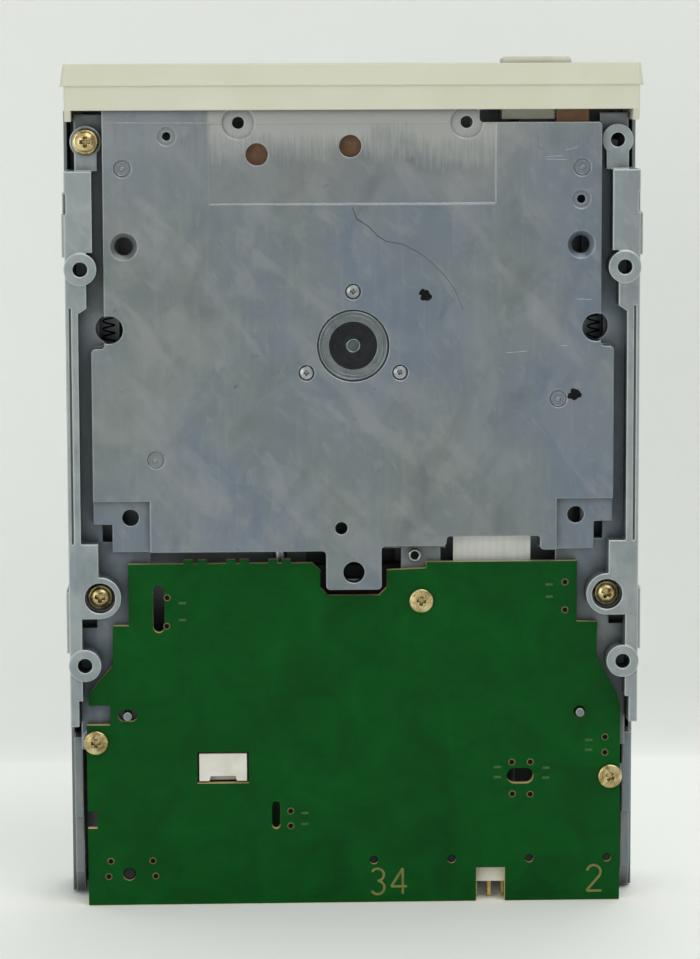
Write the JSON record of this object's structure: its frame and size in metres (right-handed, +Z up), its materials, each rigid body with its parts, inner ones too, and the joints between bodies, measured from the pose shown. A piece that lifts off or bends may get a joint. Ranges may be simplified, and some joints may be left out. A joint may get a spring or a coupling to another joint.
{
  "type": "floppy disk drive",
  "caption": "3.5-inch floppy disk drive with die-cast chassis, mounting rails, green circuit board, cream bezel, eject slide, disk tray, spindle motor and lead-screw head carriage",
  "frame": {"origin": "middle of the four bottom mounting holes, on the plane that their bosses stand on", "axes": "+X to the right seen from the front panel, +Y from the front panel to the rear, +Z up with the circuit board and mounting holes underneath"},
  "size_m": [0.1016, 0.1506, 0.0254],
  "materials": {
    "cast_aluminium": "bare die-cast aluminium, mottled grey",
    "cast_rail": "bare die-cast aluminium, pale matte grey",
    "zinc_sheet": "zinc-plated steel sheet",
    "bright_steel": "bright ground steel",
    "yellow_zinc": "yellow-passivated screws, modelled with the density of brass",
    "cream_plastic": "cream moulded plastic, fine grain",
    "cream_button": "greyish cream moulded plastic",
    "clear_green_plastic": "clear green light pipe",
    "black_plastic": "black moulded plastic",
    "white_plastic": "white moulded plastic",
    "white_ceramic": "glossy white head slider",
    "green_board": "deep green solder mask with tan cut edges",
    "brown_board": "brown phenolic board",
    "gold_pins": "gold-flashed square pins",
    "copper_wire": "enamelled copper windings",
    "dark_magnet": "sintered ferrite ring",
    "dark_bearing": "blackened bearing housing",
    "white_ribbon": "white film cable"
  },
  "bodies": {
    "frame": {"chassis": "cast_aluminium", "left_rail": "cast_rail", "right_rail": "cast_rail", "top_cover": "zinc_sheet", "bezel": "cream_plastic", "activity_led": "clear_green_plastic", "main_board": "green_board", "interface_header": "white_plastic", "interface_pins": "gold_pins", "power_header": "white_plastic", "power_pins": "gold_pins", "head_socket": "white_plastic", "board_chips": "black_plastic", "board_screws": "yellow_zinc", "rail_screws": "yellow_zinc", "spindle_bearing": "dark_bearing", "bearing_cap": "black_plastic", "bearing_screws": "bright_steel", "motor_board": "brown_board", "stator_core": "bright_steel", "stator_coils": "copper_wire", "flat_cable": "white_ribbon", "cable_sockets": "white_plastic", "stepper_can": "zinc_sheet", "stepper_bracket": "zinc_sheet", "stepper_screws": "bright_steel", "guide_rods": "bright_steel", "rod_clamps": "zinc_sheet", "switch_bodies": "black_plastic", "track_zero_sensor": "black_plastic", "slide_springs": "bright_steel"},
    "eject_slide": {"eject_slide": "zinc_sheet", "eject_button": "cream_button"},
    "disk_tray": {"disk_tray": "zinc_sheet", "tray_studs": "bright_steel", "lever_pivot": "bright_steel"},
    "shutter_lever": {"shutter_lever": "zinc_sheet", "lever_spring": "bright_steel"},
    "dust_door": {"dust_door": "cream_plastic"},
    "head_carriage": {"head_carriage": "black_plastic", "lower_head": "white_ceramic", "screw_follower": "white_plastic", "arm_pin": "bright_steel"},
    "upper_arm": {"upper_arm": "zinc_sheet", "upper_head": "white_ceramic", "arm_spring": "bright_steel"},
    "lead_screw": {"lead_screw": "bright_steel"},
    "spindle": {"rotor_cup": "zinc_sheet", "rotor_magnet": "dark_magnet", "spindle_shaft": "bright_steel", "chuck_hub": "zinc_sheet", "drive_pin": "bright_steel"},
    "write_protect_plunger": {"write_protect_plunger": "white_plastic"},
    "density_plunger": {"density_plunger": "white_plastic"},
    "disk_in_plunger": {"disk_in_plunger": "white_plastic"}
  },
  "joints": [
    {"name": "eject_slide", "type": "slide", "parent": "frame", "child": "eject_slide", "axis": [0, 1, 0], "range_m": [-0.006, 0], "deforming": ["slide_springs"]},
    {"name": "tray_lift", "type": "slide", "parent": "frame", "child": "disk_tray", "axis": [0, 0, 1], "range_m": [-0.003, 0]},
    {"name": "shutter_lever", "type": "hinge", "parent": "disk_tray", "child": "shutter_lever", "pos_m": [-0.036, 0.013, 0.0195], "axis": [0, 0, 1], "range_deg": [0, 50], "stiffness_Nm_per_rad": 0.002, "springref_deg": -11.46},
    {"name": "dust_door", "type": "hinge", "parent": "frame", "child": "dust_door", "pos_m": [0, -0.0692, 0.01775], "axis": [1, 0, 0], "range_deg": [0, 85], "stiffness_Nm_per_rad": 0.0005, "springref_deg": -11.46},
    {"name": "head_carriage", "type": "slide", "parent": "frame", "child": "head_carriage", "axis": [0, 1, 0], "range_m": [-0.0148, 0]},
    {"name": "upper_arm", "type": "hinge", "parent": "head_carriage", "child": "upper_arm", "pos_m": [0, 0.044, 0.017], "axis": [1, 0, 0], "range_deg": [0, 12.5]},
    {"name": "lead_screw", "type": "hinge", "parent": "frame", "child": "lead_screw", "pos_m": [0.022, 0.04, 0.013], "axis": [0, 1, 0], "range_deg": [0, 1421]},
    {"name": "spindle", "type": "hinge", "parent": "frame", "child": "spindle", "pos_m": [0, -0.0213, 0.005], "axis": [0, 0, 1], "continuous": true},
    {"name": "write_protect_plunger", "type": "slide", "parent": "frame", "child": "write_protect_plunger", "axis": [0, 0, 1], "range_m": [-0.0012, 0], "stiffness_N_per_m": 200, "springref_m": 0.0005},
    {"name": "density_plunger", "type": "slide", "parent": "frame", "child": "density_plunger", "axis": [0, 0, 1], "range_m": [-0.0012, 0], "stiffness_N_per_m": 200, "springref_m": 0.0005},
    {"name": "disk_in_plunger", "type": "slide", "parent": "frame", "child": "disk_in_plunger", "axis": [0, 0, 1], "range_m": [-0.0012, 0], "stiffness_N_per_m": 200, "springref_m": 0.0005}
  ],
  "couplings": [
    {"joint": "tray_lift", "follows": "eject_slide", "ratio": 0.5},
    {"joint": "upper_arm", "follows": "eject_slide", "rad_per_m": -36.36},
    {"joint": "lead_screw", "follows": "head_carriage", "rad_per_m": -1675.5}
  ]
}
